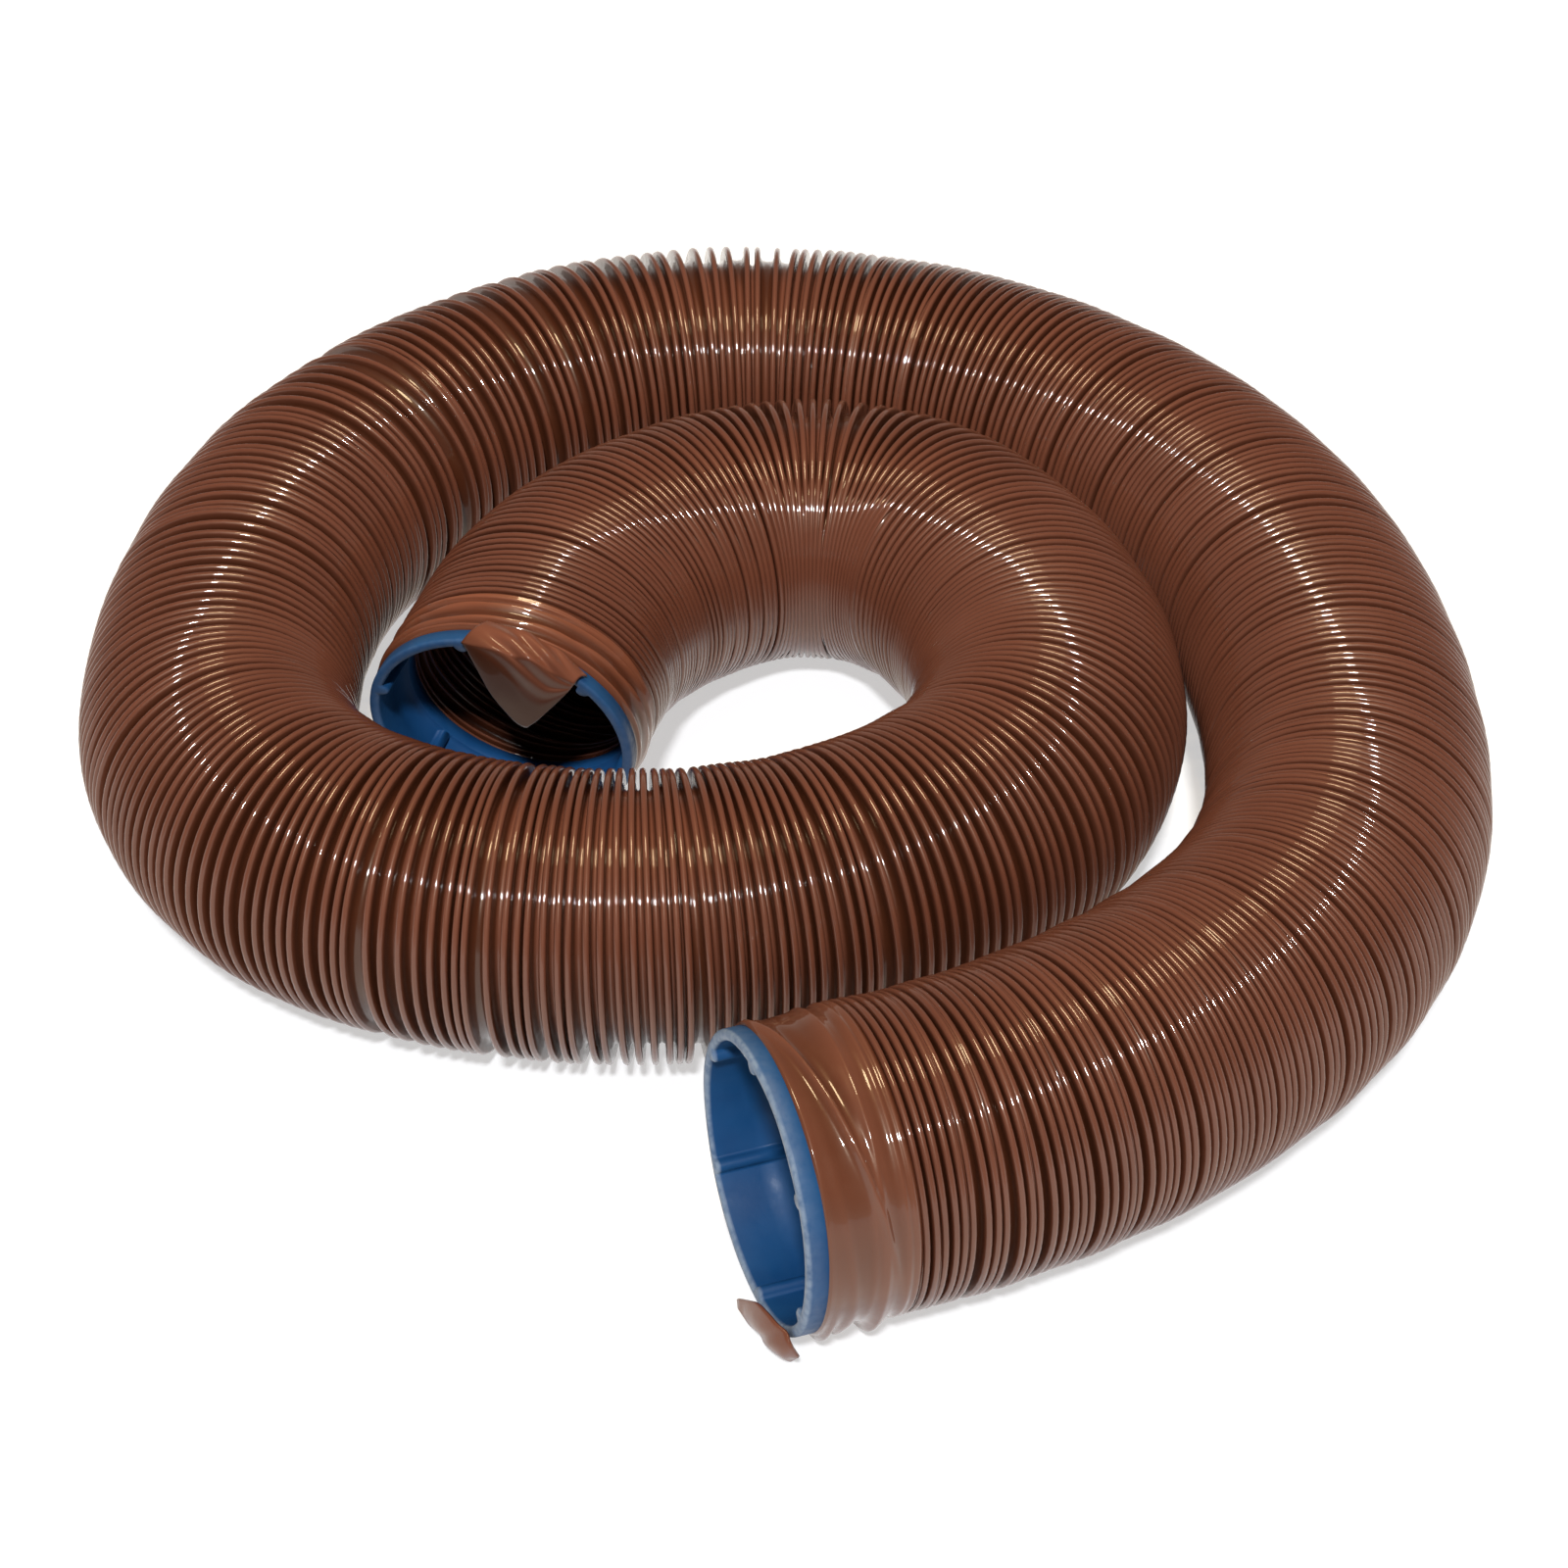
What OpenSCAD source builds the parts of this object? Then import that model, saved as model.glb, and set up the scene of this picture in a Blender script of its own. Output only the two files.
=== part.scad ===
// Compressible three inch drain hose, lying on the floor in a loose spiral.
// A thin vinyl skin folds in and out over a spring wire, and a ribbed plastic
// ring coupler is pushed into each end. The skin is one long tube that bends
// everywhere, so it is divided here into sections that each follow one arc.
// Origin: on the floor, under the middle of the hose. +Z is up and -Y is the
// side where the outer mouth lies.

/* [Hose] */
// Outer diameter over the ridges
hose_d = 85; // [60:0.5:110]
// Clear bore inside the folded skin
bore_d = 72; // [50:0.5:95]
// Straight run behind each mouth
mouth_run = 40; // [35:1:60]

/* [Spring wire] */
// Thickness of the wire
wire_d = 2; // [0.8:0.1:3]
// Diameter of one turn of wire, centre to centre
wire_turn_d = 81; // [56:0.5:106]
// Turns of wire drawn in each section
turns_per_section = 8; // [4:1:10]

/* [Ring couplers] */
// Outer diameter of the exposed rim
rim_d = 82.4; // [60:0.2:108]
// Length of the exposed rim
rim_length = 6; // [4:0.5:12]
// Outer diameter of the sleeve inside the cuff
sleeve_d = 80; // [58:0.5:104]
// Inner diameter of the rim and the sleeve
ring_bore_d = 76; // [54:0.5:100]
// Whole length of the ring
ring_length = 28; // [20:1:40]
// Diameter of the seating collar at the ring's inner end
collar_d = 71; // [50:0.5:95]
// Length of the seating collar
collar_length = 6; // [3:0.5:12]
// Number of ribs inside the ring
rib_count = 6; // [3:1:12]
// Width of a rib
rib_d = 4; // [2:0.5:6]
// Gap left between a rib's tip and the collar's diameter
rib_relief = 0.1; // [0:0.05:1]

/* [Skin ends] */
// Outer diameter of the cuff at its lip and its ridge
cuff_ridge_d = 84.6; // [60:0.2:110]
// Outer diameter of the cuff in its hollows
cuff_hollow_d = 82.6; // [60:0.2:110]
// Thickness of the loose flaps of skin
flap_t = 1.2; // [0.4:0.1:3]
// Width of the curled tongue under the outer mouth
tongue_w = 16; // [8:1:30]
// Radius of the tongue's curl
tongue_curl = 14; // [8:1:24]
// Width of the flap over the inner mouth
flap_w = 32; // [12:1:44]
// How far the flap hangs across the inner mouth
flap_drop = 18; // [10:1:36]
// How far the flap's tip lies to one side of its root
flap_lean = 12; // [0:1:20]

/* [Hidden] */
$fn = 64;

// The route: where the outer mouth lies, which way its bore runs in, and the
// length and left turn in degrees of each arc from there to the inner mouth.
start_x = -5.9;
start_y = -212.6;
start_heading = 20;
section_length = [110, 110, 110, 110, 110, 110, 110, 100, 100, 100, 80, 80, 80, 80, 95];
section_turn = [26, 38, 21, 30, 38, 43, 36, 24, 58, 35, 35, 48, 36, 78, 50];

hose_r = hose_d / 2;
collar_r = collar_d / 2;
rim_wall = (rim_d - ring_bore_d) / 2;
rib_start = 2.5;
rib_angle_outer = 27;
rib_angle_inner = 19;
flap_angle = 113;
flap_gap = 0.8;
flap_shoulder = 4;
flap_tip_w = 6;
hinge_gap = 0.75;
tongue_flat = 4;
tongue_arc = 50;
tongue_gap = 0.9;
floor_gap = 0.1;
root_overlap = 3;

// Where the cuff's lip, hollow and ridge begin and end, from the rim inwards.
lip_end = 3;
hollow_end = 8;
ridge_start = 13;
ridge_end = 15;
ridge_foot = 18;

function two_digits(i) = i < 10 ? str("0", i) : str(i);
function heading(i) = i == 0 ? start_heading : heading(i - 1) + section_turn[i - 1];
function bend_r(i) = section_length[i] * 180 / (PI * section_turn[i]);
function joint_point(i) =
    i == 0
    ? [start_x, start_y] + mouth_run * [cos(start_heading), sin(start_heading)]
    : joint_point(i - 1) + bend_r(i - 1)
        * [sin(heading(i)) - sin(heading(i - 1)), cos(heading(i - 1)) - cos(heading(i))];

last = len(section_turn);
end_heading = heading(last);

// Children stand at the centre of section i's arc, with +X towards its start.
module on_arc(i) {
    centre = joint_point(i) + bend_r(i) * [-sin(heading(i)), cos(heading(i))];
    translate([centre[0], centre[1], hose_r])
        rotate([0, 0, heading(i) - 90])
            children();
}

// Children stand at a mouth's centre, with +X into the bore.
module at_outer_mouth() {
    translate([start_x, start_y, hose_r])
        rotate([0, 0, start_heading])
            children();
}

module at_inner_mouth() {
    mouth = joint_point(last) + mouth_run * [cos(end_heading), sin(end_heading)];
    translate([mouth[0], mouth[1], hose_r])
        rotate([0, 0, end_heading + 180])
            children();
}

// Turns a profile of [radius, depth] about the mouth's axis.
module turned() {
    rotate([0, 90, 0])
        rotate_extrude()
            children();
}

module tube_outline() {
    difference() {
        circle(d = hose_d);
        circle(d = bore_d);
    }
}

module hose_section(i) {
    color("saddlebrown")
        on_arc(i)
            rotate_extrude(angle = section_turn[i])
                translate([bend_r(i), 0])
                    tube_outline();
}

module wire(i) {
    color("silver")
        on_arc(i)
            for (k = [0:turns_per_section - 1])
                rotate([0, 0, (k + 0.5) * section_turn[i] / turns_per_section])
                    translate([bend_r(i), 0, 0])
                        rotate([90, 0, 0])
                            rotate_extrude()
                                translate([wire_turn_d / 2, 0])
                                    circle(d = wire_d);
}

module ring_outline() {
    translate([ring_bore_d / 2 + rim_wall / 2, rim_wall / 2])
        circle(d = rim_wall);
    translate([ring_bore_d / 2, rim_wall / 2])
        square([rim_wall, rim_length - rim_wall / 2]);
    translate([ring_bore_d / 2, rim_wall / 2])
        square([(sleeve_d - ring_bore_d) / 2, ring_length - rim_wall / 2]);
    translate([collar_r, ring_length - collar_length])
        square([(sleeve_d - collar_d) / 2, collar_length]);
}

module coupler(rib_angle) {
    color("steelblue") {
        turned() ring_outline();
        for (k = [0:rib_count - 1])
            rotate([rib_angle + k * 360 / rib_count, 0, 0])
                translate([rib_start, collar_r + rib_relief + rib_d / 2, 0])
                    rotate([0, 90, 0])
                        cylinder(d = rib_d, h = ring_length - collar_length / 2 - rib_start);
    }
}

// Cuff: the smooth end of the skin, pulled over the ring's sleeve, and the
// short straight neck of folded skin behind it.
module cuff_shell() {
    ridge_r = cuff_ridge_d / 2;
    hollow_r = cuff_hollow_d / 2;
    turned()
        polygon([
            [sleeve_d / 2, rim_length],
            [ridge_r, rim_length],
            [hollow_r, rim_length + lip_end],
            [hollow_r, rim_length + hollow_end],
            [ridge_r, rim_length + ridge_start],
            [ridge_r, rim_length + ridge_end],
            [hollow_r, rim_length + ridge_foot],
            [hose_r, ring_length],
            [hose_r, mouth_run],
            [bore_d / 2, mouth_run],
            [bore_d / 2, ring_length],
            [sleeve_d / 2, ring_length]
        ]);
}

module outer_cuff() {
    color("saddlebrown") {
        cuff_shell();
        translate([tongue_gap, -tongue_w / 2, -hose_r])
            cube([rim_length + root_overlap - tongue_gap, tongue_w, hose_r - rim_d / 2 - floor_gap]);
    }
}

module inner_cuff() {
    color("saddlebrown") {
        cuff_shell();
        rotate([flap_angle - 90, 0, 0])
            translate([-flap_gap - flap_t, -flap_w / 4, rim_d / 2 + floor_gap])
                cube([
                    flap_gap + flap_t + rim_length + root_overlap,
                    flap_w / 2,
                    hose_r - rim_d / 2 - floor_gap
                ]);
    }
}

// Tongue: a strip of skin that lies on the floor in front of the outer mouth
// and curls up at its tip.
module outer_tail() {
    color("saddlebrown") {
        translate([-tongue_flat, -tongue_w / 2, -hose_r])
            cube([tongue_flat, tongue_w, flap_t]);
        translate([-tongue_flat, 0, tongue_curl - hose_r])
            rotate([90, 0, 0])
                rotate_extrude(angle = tongue_arc, start = -90 - tongue_arc)
                    translate([tongue_curl - flap_t, -tongue_w / 2])
                        square([flap_t, tongue_w]);
    }
}

// Flap: a triangle of skin folded over the rim, across the inner mouth.
module inner_tail() {
    root_r = rim_d / 2 + floor_gap - hinge_gap;
    color("saddlebrown")
        rotate([flap_angle - 90, 0, 0])
            translate([-flap_gap, 0, 0])
                rotate([0, -90, 0])
                    linear_extrude(flap_t)
                        polygon([
                            [root_r, -flap_w / 4],
                            [root_r, flap_w / 4],
                            [root_r - flap_shoulder, flap_w / 2],
                            [root_r - flap_drop, flap_tip_w / 2 - flap_lean],
                            [root_r - flap_drop, -flap_tip_w / 2 - flap_lean],
                            [root_r - flap_shoulder, -flap_w / 2]
                        ]);
}

for (i = [0:last - 1]) {
    hose_section(i);
    wire(i);
}
at_outer_mouth() coupler(rib_angle_outer);  // outer_coupler
at_inner_mouth() coupler(rib_angle_inner);  // inner_coupler
at_outer_mouth() outer_cuff();
at_inner_mouth() inner_cuff();
at_outer_mouth() outer_tail();
at_inner_mouth() inner_tail();
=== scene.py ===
"""Compressible drain hose in a loose spiral, with a ribbed ring in each end."""
import math
import random

import bpy
import numpy as np
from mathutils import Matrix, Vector


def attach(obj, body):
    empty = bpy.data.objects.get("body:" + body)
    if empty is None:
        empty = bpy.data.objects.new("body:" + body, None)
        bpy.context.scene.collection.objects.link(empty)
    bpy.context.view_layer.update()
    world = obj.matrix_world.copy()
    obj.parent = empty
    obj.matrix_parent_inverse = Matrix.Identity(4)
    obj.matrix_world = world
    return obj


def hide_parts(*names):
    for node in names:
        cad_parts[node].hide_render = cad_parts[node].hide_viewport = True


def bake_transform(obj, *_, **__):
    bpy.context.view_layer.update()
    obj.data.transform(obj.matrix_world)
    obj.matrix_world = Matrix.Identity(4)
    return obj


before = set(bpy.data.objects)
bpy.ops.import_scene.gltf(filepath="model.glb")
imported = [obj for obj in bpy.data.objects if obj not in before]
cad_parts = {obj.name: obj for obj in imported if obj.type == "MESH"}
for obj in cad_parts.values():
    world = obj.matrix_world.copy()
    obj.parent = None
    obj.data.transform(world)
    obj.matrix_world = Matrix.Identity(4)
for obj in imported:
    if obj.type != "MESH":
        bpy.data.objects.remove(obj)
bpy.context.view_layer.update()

MM = 0.001

# Route of the hose: the same points as in part.scad, in metres and degrees.
START = (-0.0059, -0.2126)
START_HEADING = 20.0
MOUTH_RUN = 0.040
SECTION_LENGTH = [0.11] * 7 + [0.10] * 3 + [0.08] * 4 + [0.095]
SECTION_TURN = [26, 38, 21, 30, 38, 43, 36, 24, 58, 35, 35, 48, 36, 78, 50]
ROUTE_LENGTH = 2 * MOUTH_RUN + sum(SECTION_LENGTH)

# About the hose's radius over its ridges, the height of its middle above the floor, which
# is part.scad's radius, and the least height of any point on it.
HOSE_R = 42.4 * MM
CENTRE_Z = 42.5 * MM
FLOOR_GAP = 0.3 * MM

# Skin: where it starts and stops along the hose, and the first ridge's place past the start.
SKIN_START = 0.0295
SKIN_STOP = ROUTE_LENGTH - 0.0295
FIRST_CREST = 1.3 * MM
# The ridges are laid out this far past the stop, since a turn's shape needs its neighbours.
SPARE_RUN = 0.012
# Where the helix starts around the hose, and the points on one turn of it.
SEAM_ANGLE = math.radians(-95.0)
STEPS = 64
# Half the width of a ridge's rounded top. Then how deep the skin folds in between ridges:
# where they touch, how much more where they stand apart, and how much less again where they
# are pulled wide. The two pairs are the spacings over which that happens. In millimetres.
BEAD_HALF = 1.02
SHUT_DEPTH = 0.25
FULL_DEPTH = 6.3
PULLED_FLAT = 2.6
SHUT_SPACING = (1.8, 2.8)
PULLED_SPACING = (4.2, 9.0)
# The wire: its radius, how far inside HOSE_R its middle runs, the sides of its section
# and the points on one turn.
WIRE_R = 0.55 * MM
WIRE_BELOW = 1.35 * MM
WIRE_SIDES = 6
WIRE_STEPS = 48
# The helix starts to sway this many turns from each end, and sways fully from this many.
SWAY_TURNS = (1.0, 6.0)

# The inner end droops: its ring leans forward at the top, as a slope, from here on.
INNER_LEAN = 0.28
LEAN_START = ROUTE_LENGTH - 0.17

# Where the pieces of skin meet: outer end, outer arm, coil and inner loop.
ARM_STOP = 0.140
ARM_START = 0.670
LOOP_START = 1.190
# Where the outer arm's bend starts and ends, and a run near the outer end; only points on them are
# worked out below.
SWING_RUN = (0.600, 0.475)
STRETCH_RUN = (0.138, 0.045)

# The exit point lies this far to the right of the middle, and that end of the line this far below
# it; both are only worked out below. The skin itself isn't moved.
LINE_POINTS = 53
EXIT_OFF_CENTRE = 20 * MM
LINE_END_DROP = 9 * MM

# Camera at the photograph's viewing angle.
TARGET = Vector((0.0021, 0.0234, 0.0))
DISTANCE = 1.25
PITCH = math.radians(36.0)

# Room light: how bright the room is at heights from the horizon, 0, to straight up, 1.
SKY = [(0.0, 0.70), (0.10, 0.40), (0.30, 0.18), (1.0, 0.12)]


def smooth(x, low, high):
    """0 up to low, 1 from high on, and an even S between them."""
    t = np.clip((x - low) / (high - low), 0.0, 1.0)
    return t * t * (3 - 2 * t)


def route(s):
    """Centre, heading and curvature at distances s along the hose."""
    s = np.asarray(s, dtype=float)
    heading = math.radians(START_HEADING)
    x = START[0] + np.cos(heading) * np.minimum(s, MOUTH_RUN)
    y = START[1] + np.sin(heading) * np.minimum(s, MOUTH_RUN)
    h = np.full(s.shape, heading)
    curve = np.zeros(s.shape)
    begin = MOUTH_RUN
    for length, turn in zip(SECTION_LENGTH, np.radians(SECTION_TURN)):
        r = length / turn
        run = np.clip(s - begin, 0.0, length)
        a = heading + run / r
        x += r * (np.sin(a) - math.sin(heading))
        y -= r * (np.cos(a) - math.cos(heading))
        inside = (s > begin) & (s <= begin + length)
        h = np.where(s > begin, a, h)
        curve = np.where(inside, 1 / r, curve)
        begin += length
        heading += turn
    rest = np.maximum(s - begin, 0.0)
    x += rest * math.cos(heading)
    y += rest * math.sin(heading)
    return x, y, h, curve


def on_hose(s, angle, r):
    """World points at distance s, at angle from the left side upwards, at radius r."""
    lean = INNER_LEAN * smooth(np.asarray(s), LEAN_START, ROUTE_LENGTH - MOUTH_RUN / 2)
    x, y, h, _ = route(s + lean * r * np.sin(angle))
    side = r * np.cos(angle)
    z = np.maximum(CENTRE_Z + r * np.sin(angle), FLOOR_GAP)
    return np.stack([x - np.sin(h) * side, y + np.cos(h) * side, z + 0 * x], axis=-1)


def point_at(s, angle=0.0, r=0.0):
    """One world point as a tuple."""
    return tuple(float(v) for v in on_hose(np.array([s]), np.array([angle]), np.array([r]))[0])


# ---------------------------------------------------------------- camera, lights and floor

def make_camera():
    data = bpy.data.cameras.new("camera")
    data.lens = 91.0
    data.sensor_width = 36.0
    camera = bpy.data.objects.new("camera", data)
    back = Vector((0.0, -math.cos(PITCH), math.sin(PITCH)))
    camera.location = TARGET + DISTANCE * back
    camera.rotation_euler = (math.pi / 2 - PITCH, 0.0, 0.0)
    bpy.context.collection.objects.link(camera)
    bpy.context.scene.camera = camera


def add_light(name, kind, place, power, colour, **settings):
    """A light at a place, turned to face the middle of the hose."""
    data = bpy.data.lights.new(name, kind)
    data.energy = power
    data.color = colour
    for key, value in settings.items():
        setattr(data, key, value)
    light = bpy.data.objects.new(name, data)
    light.location = place
    light.rotation_euler = (TARGET - light.location).to_track_quat("-Z", "Y").to_euler()
    bpy.context.collection.objects.link(light)


def make_lights():
    """A flash just above the camera, a warm ceiling lamp and a pale room."""
    world = bpy.data.worlds.new("studio")
    world.use_nodes = True
    nodes = world.node_tree.nodes
    links = world.node_tree.links
    direction = nodes.new("ShaderNodeTexCoord")
    parts = nodes.new("ShaderNodeSeparateXYZ")
    sky = nodes.new("ShaderNodeValToRGB")
    links.new(direction.outputs["Generated"], parts.inputs["Vector"])
    links.new(parts.outputs["Z"], sky.inputs["Fac"])
    links.new(sky.outputs["Color"], nodes["Background"].inputs["Color"])
    elements = sky.color_ramp.elements
    while len(elements) < len(SKY):
        elements.new(0.5)
    for element, (height, grey) in zip(elements, SKY):
        element.position = height
        element.color = (grey, 0.92 * grey, 0.82 * grey, 1.0)
    bpy.context.scene.world = world
    bpy.context.scene.view_settings.view_transform = "Standard"
    add_light("flash", "SUN", (-0.04, -0.95, 1.17), 3.7, (0.95, 0.97, 1.0), angle=math.radians(5.0))
    add_light("lamp", "AREA", (0.0, -0.05, 1.6), 19.0, (1.0, 0.76, 0.46), shape="DISK", size=0.50)


def make_floor():
    mesh = bpy.data.meshes.new("floor")
    half = 20.0
    mesh.from_pydata([(-half, -half, 0), (half, -half, 0), (half, half, 0), (-half, half, 0)],
                     [], [(0, 1, 2, 3)])
    floor = bpy.data.objects.new("floor", mesh)
    bpy.context.collection.objects.link(floor)
    material = bpy.data.materials.new("floor_white")
    material.use_nodes = True
    shader = material.node_tree.nodes["Principled BSDF"]
    shader.inputs["Base Color"].default_value = (0.48, 0.48, 0.48, 1.0)
    shader.inputs["Roughness"].default_value = 0.7
    shader.inputs["Specular IOR Level"].default_value = 0.1
    shader.inputs["Emission Color"].default_value = (1.0, 1.0, 1.0, 1.0)
    shader.inputs["Emission Strength"].default_value = 0.55
    mesh.materials.append(material)


# ---------------------------------------------------------------- materials

class Nodes:
    """A material's node tree, with short calls for what the materials below use."""

    def __init__(self, name):
        self.material = bpy.data.materials.new(name)
        self.material.use_nodes = True
        self.tree = self.material.node_tree
        self.shader = self.tree.nodes["Principled BSDF"]

    def add(self, kind, **settings):
        node = self.tree.nodes.new(kind)
        for key, value in settings.items():
            if key in node.inputs:
                node.inputs[key].default_value = value
            else:
                setattr(node, key, value)
        return node

    def link(self, a, b):
        self.tree.links.new(a, b)

    def set(self, **values):
        for key, value in values.items():
            self.shader.inputs[key.replace("_", " ")].default_value = value

    def noise(self, scale, detail=2.0, roughness=0.5):
        place = self.add("ShaderNodeTexCoord")
        node = self.add("ShaderNodeTexNoise", Scale=scale, Detail=detail, Roughness=roughness)
        self.link(place.outputs["Object"], node.inputs["Vector"])
        return node.outputs["Fac"]

    def attribute(self, name):
        return self.add("ShaderNodeAttribute", attribute_name=name).outputs["Fac"]

    def ramp(self, value, *stops):
        """Colours or greys at stops along a value from 0 to 1."""
        node = self.add("ShaderNodeValToRGB")
        elements = node.color_ramp.elements
        while len(elements) < len(stops):
            elements.new(0.5)
        for element, (place, colour) in zip(elements, stops):
            element.position = place
            grey = isinstance(colour, float)
            element.color = (colour, colour, colour, 1.0) if grey else (*colour, 1.0)
        self.link(value, node.inputs["Fac"])
        return node.outputs["Color"]

    def mix(self, factor, a, b, how="MIX"):
        node = self.add("ShaderNodeMix", data_type="RGBA", blend_type=how)
        for socket, value in ((0, factor), (6, a), (7, b)):
            if isinstance(value, bpy.types.NodeSocket):
                self.link(value, node.inputs[socket])
            else:
                node.inputs[socket].default_value = value
        return node.outputs[2]

    def bump(self, height, strength, distance):
        node = self.add("ShaderNodeBump", Strength=strength, Distance=distance)
        self.link(height, node.inputs["Height"])
        self.link(node.outputs["Normal"], self.shader.inputs["Normal"])


def vinyl(name, crest, web, shade_at, coat=0.7, gloss=0.2):
    """Glossy brown vinyl: pale on the ridges and at the bottom of open folds, darker between them,
    partly the vinyl's deeper colour and partly painted shade in the folds.
    """
    n = Nodes(name)
    cloud = n.noise(38.0, 3.0)
    base = n.ramp(n.attribute("ridge"), (0.0, crest), (0.10, web), (shade_at, web), (1.0, crest))
    tint = n.ramp(cloud, (0.3, (0.86, 0.84, 0.83)), (0.7, (1.0, 1.0, 1.0)))
    n.link(n.mix(1.0, base, tint, "MULTIPLY"), n.shader.inputs["Base Color"])
    rough = n.ramp(n.noise(220.0, 3.0), (0.25, 0.30), (0.75, 0.46))
    n.link(rough, n.shader.inputs["Roughness"])
    n.bump(n.noise(900.0, 2.0), 0.10, 0.2 * MM)
    n.set(IOR=1.5, Specular_IOR_Level=gloss, Coat_Weight=coat, Coat_Roughness=0.05)
    n.shader.inputs["Specular Tint"].default_value = (1.0, 0.86, 0.66, 1.0)
    return n.material


def ring_plastic():
    """Moulded blue plastic with a pale scuffed rim."""
    n = Nodes("ring_plastic")
    cloud = n.noise(60.0, 3.0)
    blue = n.ramp(cloud, (0.3, (0.005, 0.042, 0.128)), (0.7, (0.009, 0.058, 0.160)))
    scuff = n.mix(1.0, n.attribute("wear"), n.ramp(n.noise(420.0, 4.0), (0.25, 0.35), (0.6, 1.0)),
                  "MULTIPLY")
    n.link(n.mix(scuff, blue, (0.30, 0.36, 0.42, 1.0)), n.shader.inputs["Base Color"])
    rough = n.ramp(n.noise(300.0, 3.0), (0.3, 0.42), (0.7, 0.60))
    n.link(rough, n.shader.inputs["Roughness"])
    n.bump(n.noise(700.0, 3.0), 0.12, 0.3 * MM)
    n.set(IOR=1.48, Specular_IOR_Level=0.2)
    return n.material


def spring_wire():
    """Drawn steel wire with fine lines along it."""
    n = Nodes("spring_wire")
    grey = n.ramp(n.noise(800.0, 3.0), (0.3, (0.42, 0.42, 0.43)), (0.7, (0.60, 0.60, 0.61)))
    n.link(grey, n.shader.inputs["Base Color"])
    n.link(n.ramp(n.noise(500.0, 2.0), (0.3, 0.28), (0.7, 0.42)), n.shader.inputs["Roughness"])
    n.set(Metallic=1.0)
    return n.material


# ---------------------------------------------------------------- meshes

def new_piece(name, points, faces, material, slot, **values):
    """A smooth-shaded mesh object with float values stored on its points."""
    mesh = bpy.data.meshes.new(name)
    points = np.asarray(points, dtype=np.float32)
    faces = np.asarray(faces, dtype=np.int32)
    mesh.vertices.add(len(points))
    mesh.vertices.foreach_set("co", points.ravel())
    mesh.loops.add(faces.size)
    mesh.loops.foreach_set("vertex_index", faces.ravel())
    mesh.polygons.add(len(faces))
    mesh.polygons.foreach_set("loop_start", np.arange(0, faces.size, faces.shape[1], dtype=np.int32))
    mesh.update(calc_edges=True)
    mesh.validate()
    mesh.shade_smooth()
    for key, value in values.items():
        data = mesh.attributes.new(key, "FLOAT", "POINT")
        data.data.foreach_set("value", np.asarray(value, dtype=np.float32).ravel())
    mesh.materials.append(material)
    piece = bpy.data.objects.new(name, mesh)
    bpy.context.collection.objects.link(piece)
    return piece


def waves(seed, count, *axes):
    """Smooth noise: a sum of seeded sine waves over the given axes, about -1 to 1."""
    rng = random.Random(seed)
    total = 0.0
    for _ in range(count):
        phase = rng.uniform(0, 2 * math.pi)
        for values, fastest in axes:
            phase = phase + rng.uniform(-fastest, fastest) * values
        total = total + np.sin(phase)
    return total / math.sqrt(count)


# Turns of wire: up to what distance in metres, their mean spacing and how close the turns
# of one pack lie in millimetres, and the chances that a pack holds one, two or three turns.
PACKING = [
    (0.160, 2.55, 1.85, (1, 5, 5)),
    (0.250, 2.8, 1.95, (3, 4, 3)),
    (0.480, 3.3, 2.35, (3, 5, 2)),
    (0.590, 3.6, 2.2, (5, 4, 1)),
    (0.690, 5.0, 2.2, (3, 6, 1)),
    (0.780, 5.6, 2.2, (4, 6, 1)),
    (0.910, 4.2, 2.3, (6, 3, 1)),
    (1.190, 3.35, 2.3, (7, 3, 1)),
    (1.330, 3.4, 2.4, (8, 2, 0)),
    (1.430, 3.9, 2.6, (9, 1, 0)),
    (9.999, 3.0, 2.3, (8, 2, 0)),
]


def turn_places():
    """Distance along the hose of the ridge's crest at each whole turn of the helix."""
    rng = random.Random(11)
    places = [SKIN_START + FIRST_CREST]
    while places[-1] < SKIN_STOP + SPARE_RUN:
        pitch, close, chances = next(p[1:] for p in PACKING if places[-1] < p[0])
        size = rng.choices((1, 2, 3), chances)[0]
        total = size * pitch * rng.uniform(0.85, 1.15)
        gap = max(total - (size - 1) * close, close + 0.3)
        for step in [close] * (size - 1) + [gap]:
            places.append(places[-1] + step * rng.uniform(0.95, 1.05) * MM)
    return np.array(places)


CRESTS = turn_places()
VALLEYS = np.concatenate([[SKIN_START], (CRESTS[:-1] + CRESTS[1:]) / 2])
TURNS = int(np.argmin(np.abs(VALLEYS - SKIN_STOP)))


def sway(turn):
    """How far the helix strays from an even winding, which tilts the turns a little."""
    first, full = SWAY_TURNS
    tilt = 0.55 * MM * waves(3, 5, (turn, 0.35))
    tilt = tilt * smooth(turn, first, full) * (1 - smooth(turn, TURNS - full, TURNS - first))
    return tilt * np.sin(2 * math.pi * turn + waves(5, 3, (turn, 0.08)))


def valley(turn):
    """Distance along the hose of the helix's valley at a turn number with a fraction."""
    return np.interp(turn, np.arange(len(VALLEYS)), VALLEYS) + sway(turn)


def crest_place(turn):
    """Distance along the hose of the crest that follows the valley at a turn number."""
    sways = (sway(turn) + sway(turn + 1)) / 2
    return np.interp(turn, np.arange(len(CRESTS)), CRESTS) + sways


def wave_angle(turn):
    """Angle around the hose at a turn number of the helix."""
    return 2 * math.pi * turn + SEAM_ANGLE


def fold_depth(spacing):
    """How deep the skin folds in between two crests a spacing apart, all in millimetres."""
    flatter = PULLED_FLAT * smooth(spacing, *PULLED_SPACING)
    return SHUT_DEPTH + FULL_DEPTH * smooth(spacing, *SHUT_SPACING) - flatter


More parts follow.
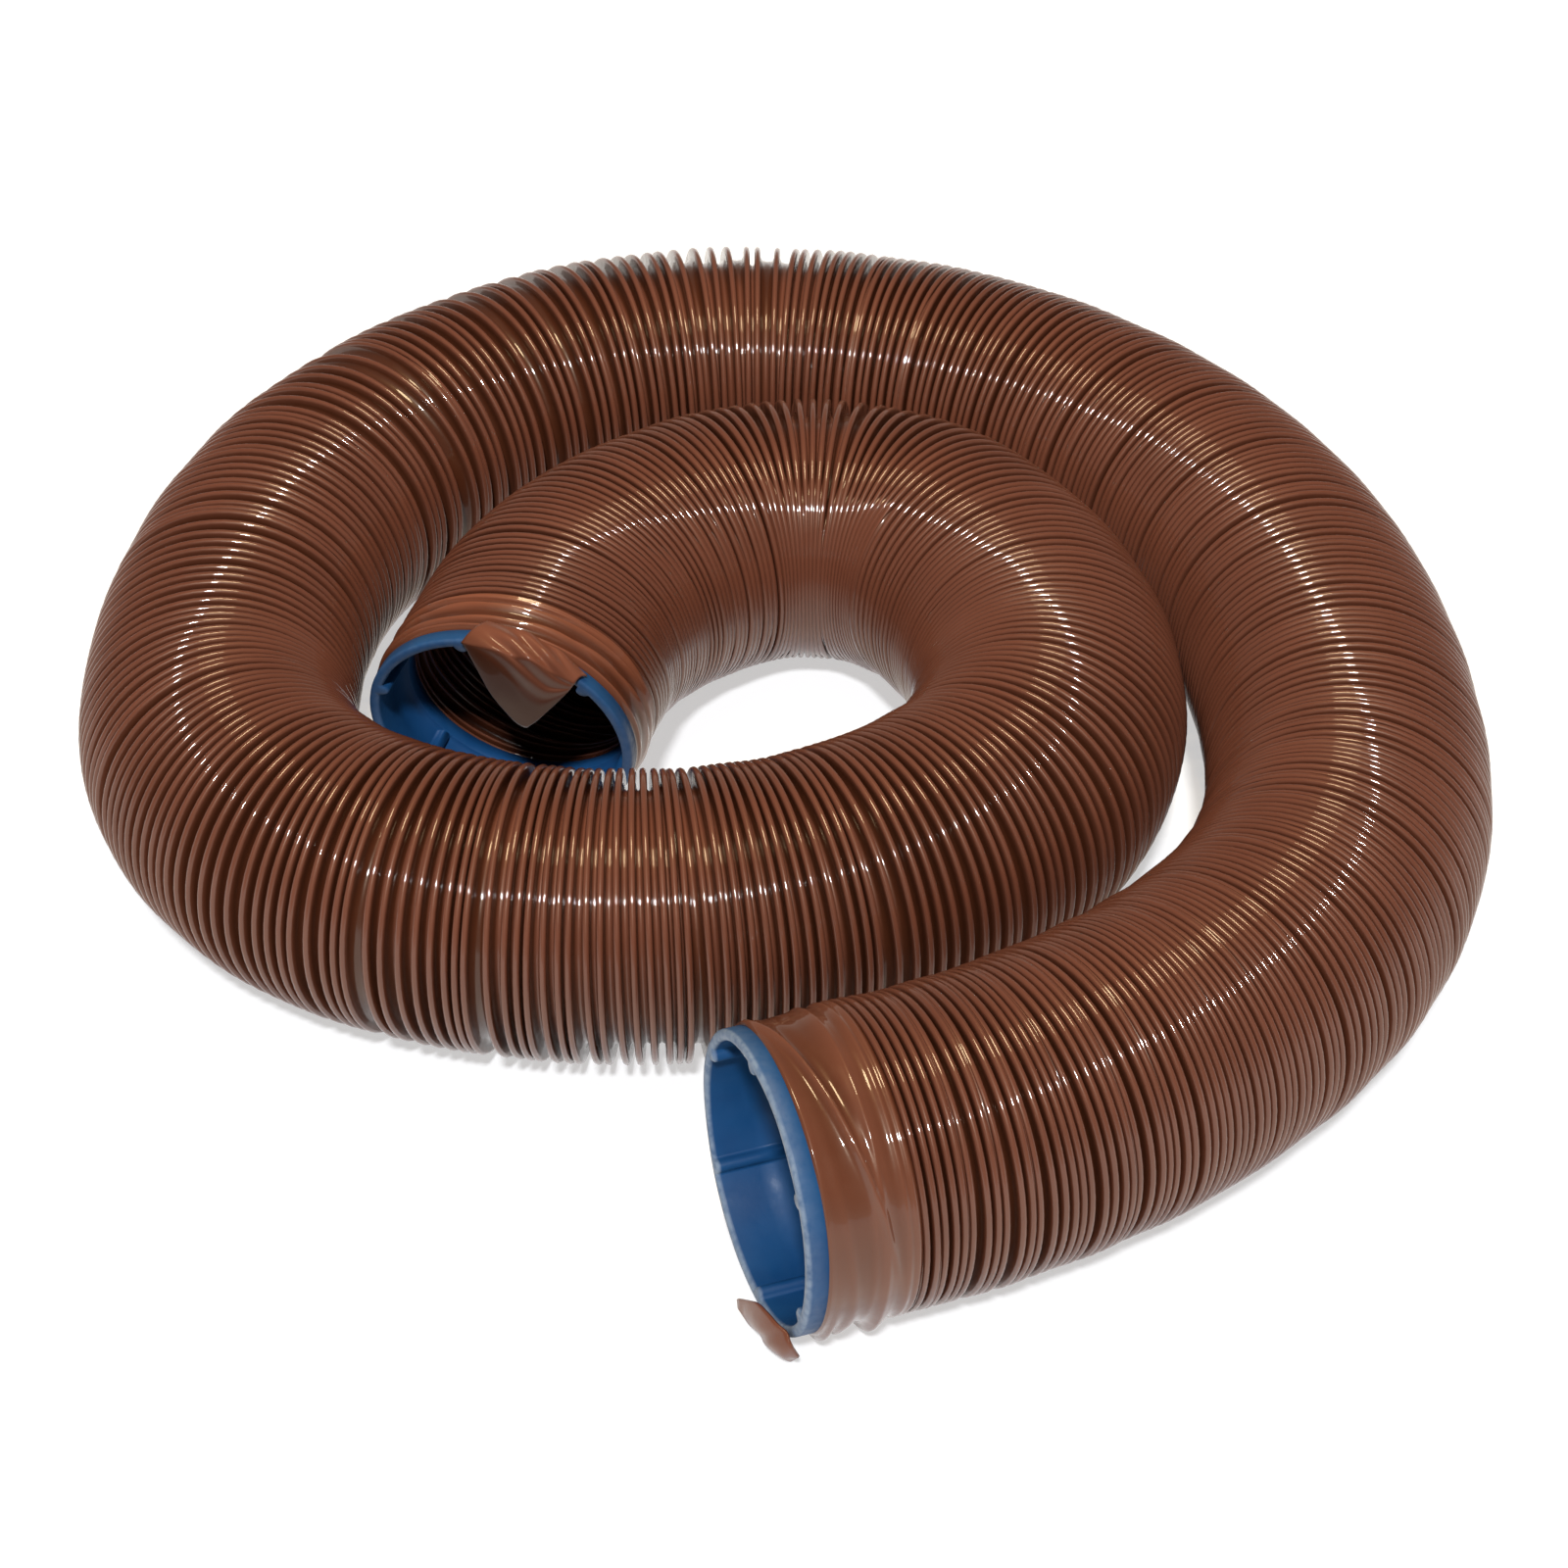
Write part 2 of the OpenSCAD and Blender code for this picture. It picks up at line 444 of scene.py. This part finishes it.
def skin_grid(first, last):
    """Rows and a grid of points and ridge values, from a valley over the crest to the next."""
    rows = np.arange(first * STEPS, last * STEPS + 1)
    turn = rows / STEPS
    angle = wave_angle(turn)
    crest = crest_place(turn)
    _, _, _, curve = route(crest)
    stretch = np.maximum(1 - curve * HOSE_R * np.cos(angle), 0.2)
    size = HOSE_R / MM - 0.25 + 0.22 * waves(7, 6, (turn, 0.9), (np.cos(angle), 1.5))
    # Each side of a ridge as (distance from its crest, depth below it), from the valley up.
    sides = []
    for side, edge in ((-1, valley(turn)), (1, valley(turn + 1))):
        half = np.abs(edge - crest) * stretch / MM
        depth = fold_depth(2 * half)
        bead = np.minimum(BEAD_HALF, 0.8 * half)
        neck = np.minimum(0.80, 0.64 * half)
        fold = neck + 0.35 * (half - neck)
        sides.append([
            (side * half, depth),
            (side * fold, depth * 0.93),
            (side * neck, np.maximum(depth * 0.55, np.minimum(1.5, depth * 0.85))),
            (side * bead, np.minimum(1.05, depth * 0.75)),
            (side * bead * 0.72, np.minimum(0.28, depth * 0.4)),
        ])
    # The far valley is left out, since it is the next turn's first column.
    low, high = sides
    grid = []
    ridge = []
    for width, below in low + [(0 * crest, 0 * crest)] + high[:0:-1]:
        grid.append(on_hose(crest + width * MM / stretch, angle, (size - below) * MM))
        # The ridge value also picks the colour: the fold between ridges takes the darker web colour,
        # partly the vinyl's own and partly painted shade.
        ridge.append(1 - np.clip(below / FULL_DEPTH, 0, 1))
    return rows, np.stack(grid, axis=1), np.stack(ridge, axis=1)


def skin_piece(name, first, last, material):
    """The skin between two turns, with each turn's last column shared with the next turn."""
    rows, grid, ridge = skin_grid(first, last)
    _, tail, tail_ridge = skin_grid(last, last + 1)
    columns = grid.shape[1]
    points = np.concatenate([grid.reshape(-1, 3), tail[1:, 0]])
    values = np.concatenate([ridge.ravel(), tail_ridge[1:, 0]])
    count = len(rows)
    index = np.arange(count * columns).reshape(count, columns)
    last_column = np.empty(count, dtype=np.int64)
    last_column[:count - STEPS] = index[STEPS:, 0]
    last_column[count - STEPS:] = count * columns + np.arange(STEPS)
    index = np.concatenate([index, last_column[:, None]], axis=1)
    faces = np.stack([index[:-1, :-1], index[1:, :-1], index[1:, 1:], index[:-1, 1:]], axis=-1)
    return new_piece(name, points, faces.reshape(-1, 4), material, "skin_vinyl", ridge=values)


def wire_piece(name, first, last, material):
    """The steel helix inside the ridges, as a thin round wire."""
    turn = np.arange(first * WIRE_STEPS, last * WIRE_STEPS + 1) / WIRE_STEPS
    angle = wave_angle(turn)
    crest = crest_place(turn)
    gap = np.minimum(valley(turn + 1) - crest, crest - valley(turn))
    _, _, _, curve = route(crest)
    stretch = np.maximum(1 - curve * HOSE_R * np.cos(angle), 0.2)
    across = np.minimum(WIRE_R, 0.5 * gap * stretch) / stretch
    rings = []
    for k in range(WIRE_SIDES):
        a = 2 * math.pi * k / WIRE_SIDES
        r = HOSE_R - WIRE_BELOW + WIRE_R * math.sin(a)
        rings.append(on_hose(crest + across * math.cos(a), angle, r))
    points = np.stack(rings, axis=1)
    count = len(turn)
    index = np.arange(count * WIRE_SIDES).reshape(count, WIRE_SIDES)
    nxt = np.roll(index, -1, axis=1)
    faces = np.stack([index[:-1], nxt[:-1], nxt[1:], index[1:]], axis=-1).reshape(-1, 4)
    return new_piece(name, points.reshape(-1, 3), faces, material, "spring_wire")


def near_turn(s):
    """The turn whose valley is nearest to a distance along the hose."""
    return int(np.argmin(np.abs(VALLEYS - s)))


# ---------------------------------------------------------------- rings, cuffs and tails

def at_mouth(inner, depth, angle, r):
    """World points at a mouth: depth into the bore, angle from the mouth's left side upwards."""
    depth, angle, r = np.broadcast_arrays(depth, angle, r)
    if inner:
        return on_hose(ROUTE_LENGTH - depth, math.pi - angle, r)
    return on_hose(depth, angle, r)


def from_mouth(inner, local):
    """World points of (depth, y, z) points in a mouth's own frame, in millimetres."""
    local = np.asarray(local, dtype=float) * MM
    angle = np.arctan2(local[..., 2], local[..., 1])
    return at_mouth(inner, local[..., 0], angle, np.hypot(local[..., 1], local[..., 2]))


def mouth_point(inner, local):
    """The world tuple of one (depth, y, z) point in a mouth's own frame, in millimetres."""
    return tuple(float(v) for v in from_mouth(inner, local))


def revolve(name, inner, angles, loop, material, slot, **values):
    """A closed ring: loop(angles) gives one array of depths and radii for each point around."""
    depths, radii = loop(angles)
    points = at_mouth(inner, depths, angles[:, None], radii)
    count, around = depths.shape
    index = np.arange(count * around).reshape(count, around)
    right = np.roll(index, -1, axis=0)
    faces = np.stack([index, np.roll(index, -1, axis=1), np.roll(right, -1, axis=1), right], axis=-1)
    if inner:
        faces = faces[..., ::-1]
    values = {key: function(depths, radii) for key, function in values.items()}
    return new_piece(name, points.reshape(-1, 3), faces.reshape(-1, 4), material, slot, **values)


# The ring, in millimetres: radii, and depths from the mouth. They follow part.scad, except
# that the collar's radius is 0.1 more here.
RIM_R = 41.2
RIM_LENGTH = 6.0
SLEEVE_R = 40.0
BORE_R = 38.0
COLLAR_R = 35.6
COLLAR_START = 22.0
RING_LENGTH = 28.0
RIB_COUNT = 6
RIB_HALF = 2.0
RIB_HEIGHT = 2.4
# The whole ring is set back this far from the mouth, and its face is uneven by about this.
SET_BACK = 0.12
FACE_WAVE = 0.10


def ring_coupler(name, inner, rib_angle, worn):
    """The ribbed ring: a rounded rim, a thin sleeve, six ribs and a collar at the inner end."""
    # Points across one rib, then evenly spread ones up to the next.
    offsets = np.array([-2.7, -2.1, -1.8, -1.4, -0.9, -0.4, 0.4, 0.9, 1.4, 1.8, 2.1, 2.7]) / BORE_R
    pitch = 2 * math.pi / RIB_COUNT
    between = np.linspace(offsets[-1], pitch + offsets[0], 14)[1:-1]
    one = np.concatenate([offsets, between])
    angles = np.concatenate([math.radians(rib_angle) + k * pitch + one for k in range(RIB_COUNT)])
    from_rib = np.abs((angles - math.radians(rib_angle) + pitch / 2) % pitch - pitch / 2) * BORE_R
    rib = RIB_HEIGHT * np.sqrt(np.clip(1 - (from_rib / RIB_HALF) ** 2, 0, 1))
    # Depth, radius, and the share of a rib's height that stands there: from the face along
    # the outside to the far end, then back over the collar and through the bore.
    outline = np.array([
        (0.0, 39.6, 0.0), (0.12, 40.5, 0.0), (0.6, 41.05, 0.0), (1.3, RIM_R, 0.0),
        (RIM_LENGTH - 0.3, RIM_R, 0.0), (RIM_LENGTH, 40.9, 0.0), (RIM_LENGTH + 0.1, SLEEVE_R, 0.0),
        (RING_LENGTH, SLEEVE_R, 0.0), (RING_LENGTH, COLLAR_R + 0.6, 0.0),
        (RING_LENGTH - 0.3, COLLAR_R, 0.0), (COLLAR_START + 0.3, COLLAR_R, 0.0),
        (COLLAR_START, COLLAR_R + 0.4, 0.0), (COLLAR_START - 0.1, BORE_R, 1.0), (12.0, BORE_R, 1.0),
        (1.4, BORE_R, 1.0), (0.6, BORE_R + 0.15, 1.0), (0.1, BORE_R + 0.6, 0.95),
    ])
    depth, radius, ribbed = outline.T

    def loop(around):
        wave = FACE_WAVE * waves(31 + inner, 6, (np.cos(around), 7.0), (np.sin(around), 7.0))
        depths = depth + np.where(depth < 1.0, 1.0, 0.0) * wave[:, None] + SET_BACK
        radii = radius - rib[:, None] * ribbed
        return depths * MM, radii * MM

    def wear(depths, radii):
        front = 1 - smooth(depths / MM, 0.5, 1.5)
        side = 0.12 * (1 - smooth(depths / MM, 1.5, 5.5)) * (radii > 40.6 * MM)
        return worn * np.maximum(0.55 * front, side)

    return revolve(name, inner, angles, loop, RING, "ring_plastic", wear=wear)


# The cuff, in millimetres: its thinnest wall, and the radius of its inside past the ring.
CUFF_WALL = 0.25
NECK_R = 36.0


def cuff_stop(inner, angle):
    """Depth, in millimetres, of the ridge nearest to the mouth at angles around it."""
    on_skin = math.pi - angle if inner else angle
    share = (on_skin - SEAM_ANGLE) / (2 * math.pi) % 1.0
    if inner:
        return (ROUTE_LENGTH - crest_place(TURNS - 1 + share)) / MM
    return crest_place(share) / MM


def cuff(name, inner, outline, folds, material):
    """The smooth end of the skin: a closed shell over the ring, up to the first ridge."""
    angles = np.linspace(0, 2 * math.pi, 193)[:-1] + SEAM_ANGLE
    keys = np.array(outline)
    fine = np.concatenate([np.linspace(a, b, 7)[:-1] for a, b in zip(keys[:-1, 0], keys[1:, 0])])
    fine = np.append(fine, keys[-1, 0])
    blend = np.interp(fine, keys[:, 0], keys[:, 1])
    kernel = np.array([0.06, 0.24, 0.40, 0.24, 0.06])
    padded = np.pad(blend, 2, mode="edge")
    base = np.convolve(padded, kernel, mode="valid")
    base[0], base[-1] = blend[0], blend[-1]

    def loop(around):
        outer = base + folds(fine[None, :], around[:, None])
        lip = 0.35 * waves(51 + inner, 5, (np.cos(around), 4.0), (np.sin(around), 4.0))
        shift = lip[:, None] * (1 - smooth(fine, fine[0], fine[0] + 3.0))
        # The far edge follows the nearest ridge, and two faint ridges lead up to it.
        stop = cuff_stop(inner, around)[:, None]
        depths = fine + shift + (stop + 0.2 - fine[-1]) * smooth(fine, 20.0, 31.0)
        echo = 0.75 * bump(stop - depths, 2.3, 0.75) + 0.55 * bump(stop - depths, 4.6, 0.85)
        outer = outer + echo - 0.25 * bump(stop - depths, 3.4, 2.6)
        over_ring = SLEEVE_R + 0.45
        outer = np.maximum(outer, np.where(depths < RING_LENGTH, over_ring, NECK_R + 0.4))
        inside = np.where(depths < RING_LENGTH + 0.2, SLEEVE_R + 0.1, NECK_R)
        inside = np.minimum(inside, outer - CUFF_WALL)
        depths = np.concatenate([depths, depths[:, ::-1]], axis=1)
        return depths * MM, np.concatenate([outer, inside[:, ::-1]], axis=1) * MM

    def ridge(depths, radii):
        # Painted shade: the cuff is darker where it lies low between its folds and on its inside,
        # and paler on the raised folds.
        return 0.1 + 0.9 * smooth(radii / MM, 40.3, 42.6)

    return revolve(name, inner, angles, loop, material, "cuff_vinyl", ridge=ridge)


def bump(x, centre, width):
    """A bell of height 1 at a centre."""
    return np.exp(-((x - centre) / width) ** 2)


def around_at(angle, middle, width):
    """1 at a middle angle in degrees, fading to 0 a width in degrees to either side."""
    off = (angle - math.radians(middle) + math.pi) % (2 * math.pi) - math.pi
    return bump(off, 0.0, math.radians(width))


# The outer cuff's hem: its depth at the top of the mouth, and how much deeper it runs
# for each degree past the top, both in millimetres.
HEM_DEPTH = 10.8
HEM_RISE = 0.15


def outer_folds(depth, angle):
    """A hem that winds over the top, soft dents all round, and sagging folds at the bottom."""
    top = around_at(angle, 108, 52)
    past_top = np.degrees((angle - math.pi / 2 + math.pi) % (2 * math.pi) - math.pi)
    hem = HEM_DEPTH + HEM_RISE * past_top
    low = around_at(angle, 238, 22)
    sag = (3.2 * bump(depth, 9.0, 1.2) + 2.2 * bump(depth, 12.8, 1.3)
           - 0.6 * bump(depth, 17.0, 1.6) + 3.0 * bump(depth, 22.5, 2.4))
    roll = 2.5 * bump(depth, hem, 1.0) - 0.7 * bump(depth, hem + 3.4, 1.8)
    band = 0.55 * bump(depth, 12.5 - 3.0 * np.sin(angle), 1.2)
    dents = 0.24 * waves(61, 9, (np.cos(angle), 6.0), (np.sin(angle), 6.0), (depth, 0.6))
    crease = 0.30 * bump(depth, 18.5 + 1.5 * np.sin(angle), 0.8) * around_at(angle, 160, 70)
    return top * roll + (1 - top) * band + low * sag + dents + crease


def inner_folds(depth, angle):
    """Gathered folds that run round the cuff a little askew and bunch up by the flap."""
    total = 0.16 * waves(71, 9, (np.cos(angle), 5.0), (np.sin(angle), 5.0), (depth, 0.7))
    gather = 0.85 + 0.85 * around_at(angle, 115, 60)
    for centre, lean, height, width in ((9.0, 1.8, 1.3, 0.8), (13.5, -2.4, 1.9, 1.0),
                                        (18.0, 2.2, 1.7, 1.0), (22.0, -1.8, 1.9, 1.0),
                                        (26.0, 1.4, 1.4, 0.9)):
        total = total + gather * height * bump(depth, centre + lean * np.sin(angle + centre), width)
    return total - 0.6


def shell(name, inner, front, thickness, shade, material):
    """A thin closed sheet from a grid of (depth, y, z) points in a mouth's own frame, in mm."""
    normal = np.cross(np.gradient(front, axis=0), np.gradient(front, axis=1))
    normal /= np.maximum(np.linalg.norm(normal, axis=-1, keepdims=True), 1e-9)
    grids = [front + 0.5 * thickness * normal, front - 0.5 * thickness * normal]
    rows, columns = front.shape[:2]
    index = np.arange(2 * rows * columns).reshape(2, rows, columns)

    def quads(a, b, c, d):
        return np.stack([a, b, c, d], axis=-1).reshape(-1, 4)

    top, low = index
    faces = [quads(top[:-1, :-1], top[1:, :-1], top[1:, 1:], top[:-1, 1:]),
             quads(low[:-1, :-1], low[:-1, 1:], low[1:, 1:], low[1:, :-1])]
    edge = np.concatenate([np.stack([top[:, 0], low[:, 0]]), np.stack([top[-1, 1:], low[-1, 1:]]),
                           np.stack([top[-2::-1, -1], low[-2::-1, -1]]),
                           np.stack([top[0, -2::-1], low[0, -2::-1]])], axis=1)
    faces.append(quads(edge[0, :-1], edge[1, :-1], edge[1, 1:], edge[0, 1:]))
    points = from_mouth(inner, np.stack(grids).reshape(-1, 3))
    return new_piece(name, points, np.concatenate(faces), material, "cuff_vinyl",
                     ridge=np.tile(shade.ravel(), 2))


# The tongue's lower and upper edge in the outer mouth's own frame, from root to tip.
TONGUE_LOW = [(2.8, -26.0, -39.5), (1.0, -24.5, -41.8), (-2.2, -18.5, -41.9), (-4.0, -8.5, -41.8),
              (-5.4, -3.0, -39.8)]
TONGUE_TOP = [(1.6, -30.5, -35.0), (-1.2, -32.0, -28.0), (-3.0, -25.0, -25.5), (-4.0, -14.5, -28.0),
              (-5.8, -3.4, -36.0)]

# Two points on the tongue, one at its foot and one at its head.
TONGUE_FOOT = (-2.0, -20.0, -41.0)
TONGUE_HEAD = (-3.0, -26.0, -22.0)


def along(points, t):
    """A point at a share t of the way through a list of points, with its corners softened."""
    stops = np.linspace(0, 1, len(points))
    nearby = t + 0.10 * min(t, 1 - t, 0.5) * np.linspace(-1.0, 1.0, 5) * 2
    return np.array([np.mean(np.interp(nearby, stops, axis)) for axis in np.array(points).T])


def outer_tongue(material):
    """A leaf of skin that comes from under the rim and stands up in front of it."""
    rows, columns = 30, 13
    front = np.zeros((rows, columns, 3))
    for i, t in enumerate(np.linspace(0, 1, rows)):
        for j, v in enumerate(np.linspace(0, 1, columns)):
            place = along(TONGUE_LOW, t) * (1 - v) + along(TONGUE_TOP, t) * v
            belly = 2.4 * math.sin(math.pi * v) * math.sin(math.pi * min(t + 0.1, 1.0))
            crease = 0.9 * math.exp(-((t - 0.66 + 0.3 * v) / 0.06) ** 2)
            front[i, j] = place + np.array([crease - belly, 0.0, 0.0])
    # The whole tongue takes the tail vinyl's pale colour, a painted reflection.
    return shell("outer_tongue_skin", False, front, 0.7, np.ones((rows, columns)), material)


# The flap in the inner mouth's own frame: where it leaves the cuff, where it
# turns over the rim, and the line that its hanging edge follows.
FLAP_BACK = [(9.0, 1.0, 43.0), (8.0, -12.0, 41.0), (6.0, -22.0, 36.5), (3.0, -30.0, 30.0)]
FLAP_TURN = [(-1.2, 6.0, 41.0), (-2.2, -8.0, 39.5), (-2.4, -18.0, 35.5), (-1.6, -27.5, 30.0)]
FLAP_EDGE = [(-1.0, 5.0, 39.0), (-3.0, -1.2, 20.5), (-3.0, -9.0, 6.5), (-3.4, -14.5, 12.5),
             (-2.2, -25.0, 26.0)]

# Across the flap, the same two points as on the tongue, on either side of its hinge line.
FLAP_FOOT = (2.0, -17.1, 40.2)
FLAP_HEAD = (-3.0, -12.0, 28.2)


def inner_flap(material):
    """A gathered triangle of skin that folds over the rim and hangs across the mouth."""
    rows, columns = 64, 49
    front = np.zeros((rows, columns, 3))
    shade = np.zeros((rows, columns))
    for j, u in enumerate(np.linspace(0, 1, columns)):
        back, turn, edge = along(FLAP_BACK, u), along(FLAP_TURN, u), along(FLAP_EDGE, u)
        for i, v in enumerate(np.linspace(0, 1, rows)):
            hang = min(max((v - 0.35) / 0.65, 0.0), 1.0)
            lift = min(v / 0.35, 1.0)
            place = back + (turn - back) * lift + (edge - turn) * hang
            over = 1.3 * math.sin(math.pi * lift)
            gather = 1.1 * math.sin(32.0 * (v - 0.50 * u)) + 0.5 * math.sin(9.0 * u + 6.0 * v)
            loose = math.sin(math.pi * min(0.15 + 0.85 * v, 1.0)) * math.sin(math.pi * u)
            held = float(smooth(0.55 * u + 0.45 - v, 0.0, 0.35))
            place[2] += over + (gather + 1.6) * loose * held
            place[0] -= (gather * held + 1.2) * loose * (0.3 + hang)
            front[i, j] = place
            # Painted light and shade: the flap is pale where it is held over the rim and darker
            # where it hangs across the mouth.
            shade[i, j] = 0.25 + 0.75 * held
    return shell("inner_flap_skin", True, front, 0.6, shade, material)


# The cuffs' outlines as (depth, radius) points in millimetres, from the lip to the skin.
OUTER_CUFF = [(5.6, 41.3), (6.2, 41.9), (8.0, 41.5), (12.0, 41.1), (17.0, 41.2), (20.0, 41.7),
              (21.8, 42.5), (23.2, 42.0), (25.5, 41.5), (28.5, 41.9), (31.4, 41.6), (32.4, 40.6),
              (33.0, 36.6)]
INNER_CUFF = [(5.6, 41.3), (6.2, 41.9), (8.0, 41.6), (12.0, 41.2), (18.0, 41.2), (24.0, 41.2),
              (29.5, 41.2), (31.5, 41.3), (32.4, 40.6), (33.0, 36.6)]


make_camera()
make_lights()
make_floor()

SKIN = vinyl("skin_vinyl", (0.112, 0.037, 0.021), (0.050, 0.014, 0.006), 0.60)
CUFF = vinyl("cuff_vinyl", (0.122, 0.041, 0.022), (0.080, 0.024, 0.011), 0.2)
# The inner cuff is the same vinyl as the outer one, in a paler copy that is painted light.
PAINTED_LIGHT_CUFF = vinyl("painted_light_cuff_vinyl", (0.165, 0.054, 0.028), (0.066, 0.019, 0.009), 0.2)
# The tail vinyl's paler colour is painted light on the flap's top and a painted reflection on the
# tongue; its dark colour is painted shade where the flap hangs.
TAIL = vinyl("tail_vinyl", (0.140, 0.048, 0.027), (0.048, 0.013, 0.005), 0.2, coat=0.35, gloss=0.10)
RING = ring_plastic()
WIRE = spring_wire()

CUTS = [0, near_turn(ARM_STOP), near_turn(ARM_START), near_turn(LOOP_START), TURNS]
PARTS = ["outer_end", "outer_arm", "coil", "inner_loop"]
CAD_SECTIONS = {"outer_end": [1], "outer_arm": [2, 3, 4, 5], "coil": [6, 7, 8, 9, 10, 11],
                "inner_loop": [12, 13, 14, 15]}
skins = {}
wires = {}
for part, a, b in zip(PARTS, CUTS, CUTS[1:]):
    skins[part] = skin_piece(part + "_skin", a, b, SKIN)
    wires[part] = wire_piece(part + "_wire", a, b, WIRE)
    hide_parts(*["hose_section_%02d" % i for i in CAD_SECTIONS[part]])
    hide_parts(*["wire_%02d" % i for i in CAD_SECTIONS[part]])

outer_ring = ring_coupler("outer_ring", False, 27.0, 1.0)
inner_ring = ring_coupler("inner_ring", True, 19.0, 0.15)
outer_end_cuff = cuff("outer_end_cuff", False, OUTER_CUFF, outer_folds, CUFF)
inner_end_cuff = cuff("inner_end_cuff", True, INNER_CUFF, inner_folds, PAINTED_LIGHT_CUFF)
tongue = outer_tongue(TAIL)
flap = inner_flap(TAIL)
for piece, node, body in ((outer_ring, "outer_coupler", "outer_end"),
                          (inner_ring, "inner_coupler", "inner_end"),
                          (outer_end_cuff, "outer_cuff", "outer_end"),
                          (inner_end_cuff, "inner_cuff", "inner_end")):
    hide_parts(node)
    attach(piece, body)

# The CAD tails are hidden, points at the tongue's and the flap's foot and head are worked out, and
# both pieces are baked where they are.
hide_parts("outer_tail")
mouth_point(False, TONGUE_FOOT)
mouth_point(False, TONGUE_HEAD)
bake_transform(tongue)
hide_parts("inner_tail")
mouth_point(True, FLAP_FOOT)
mouth_point(True, FLAP_HEAD)
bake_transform(flap)

# The coil's skin and wire go on the coil's body; the other pieces of skin and wire are baked where
# they are.
for group in (skins, wires):
    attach(group["coil"], "coil")
    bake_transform(group["outer_arm"], "coil", "outer_arm",
             start=point_at(SWING_RUN[0]), end=point_at(SWING_RUN[1]))
    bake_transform(group["outer_end"], "outer_arm", "outer_end",
             start=point_at(STRETCH_RUN[0]), end=point_at(STRETCH_RUN[1]))
    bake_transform(group["inner_loop"])

# The coil runs from the inner loop into the outer arm, and the outer arm from the coil to the outer
# end. Points along each and an exit point are worked out here, and nothing uses them.
for part, near, far, far_end, beyond in (
        ("coil", LOOP_START, ARM_START, "object", []),
        ("outer_arm", ARM_START, ARM_STOP, "fitting",
         [skins["outer_end"], wires["outer_end"], outer_end_cuff, outer_ring])):
    drop = LINE_END_DROP * smooth(np.linspace(0, 1, LINE_POINTS), 0.8, 1.0) * (far_end == "object")
    line = [point_at(s, -math.pi / 2, d) for s, d in zip(np.linspace(near, far, LINE_POINTS), drop)]
    point_at(near, math.pi, EXIT_OFF_CENTRE)
